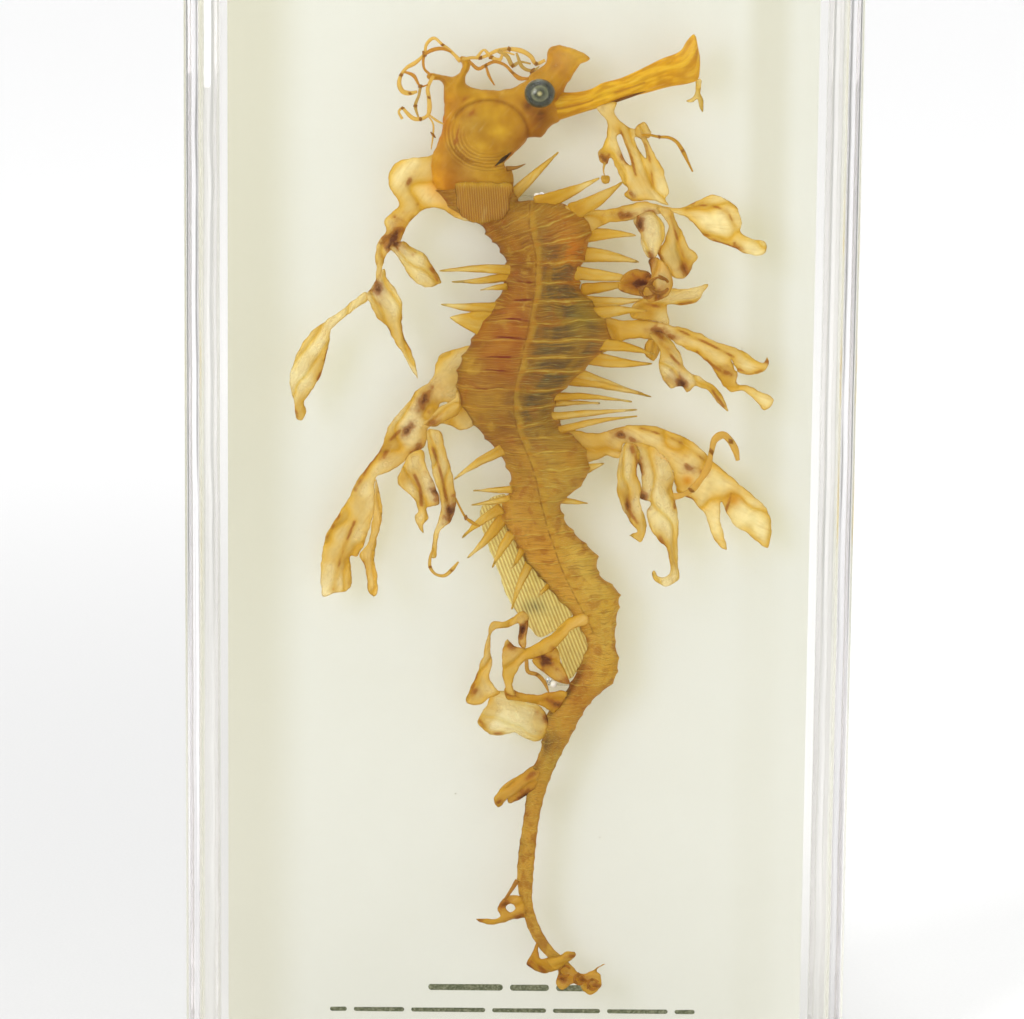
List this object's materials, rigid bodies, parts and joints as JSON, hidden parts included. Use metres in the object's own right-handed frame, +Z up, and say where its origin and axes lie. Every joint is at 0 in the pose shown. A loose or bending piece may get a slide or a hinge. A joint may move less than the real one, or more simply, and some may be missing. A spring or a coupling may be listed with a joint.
{
  "type": "specimen jar",
  "caption": "Tall rectangular glass museum jar of clear fluid with a flat lid and stopper, holding a leafy seadragon sewn to an opal back plate.",
  "frame": {"origin": "middle of the jar's underside", "axes": "+Z up, the front of the jar faces -Y, +X to the right as seen from the front"},
  "size_m": [0.186, 0.082, 0.3842],
  "materials": {
    "jar_glass": "polished clear glass, faintly green at the edges",
    "sealant": "cured translucent sealant",
    "fluid": "clear, faintly yellow liquid",
    "opal_plate": "opaque cream opal glass",
    "preserved_skin": "translucent ochre skin and membrane, bleached by the fluid",
    "nylon_thread": "fine white nylon",
    "white_bead": "glossy white"
  },
  "bodies": {
    "jar": {"jar_body": "jar_glass", "lid_seal": "sealant", "preserving_fluid": "fluid"},
    "lid": {"lid_plate": "jar_glass"},
    "plug": {"filler_plug": "jar_glass"},
    "mount": {"back_plate": "opal_plate", "left_spacer_rod": "jar_glass", "right_spacer_rod": "jar_glass", "specimen": "preserved_skin", "upper_tie_thread": "nylon_thread", "lower_tie_thread": "nylon_thread", "upper_tie_bead": "white_bead", "lower_tie_bead": "white_bead"}
  },
  "joints": [
    {"name": "lid_lift", "type": "slide", "parent": "jar", "child": "lid", "axis": [0, 0, 1], "range_m": [0, 0.46]},
    {"name": "plug_lift", "type": "slide", "parent": "lid", "child": "plug", "axis": [0, 0, 1], "range_m": [0, 0.03]},
    {"name": "mount_lift", "type": "slide", "parent": "jar", "child": "mount", "axis": [0, 0, 1], "range_m": [0, 0.368], "deforming": ["preserving_fluid"]}
  ],
  "couplings": [
    {"joint": "mount_lift", "follows": "lid_lift", "ratio": 0.8}
  ]
}
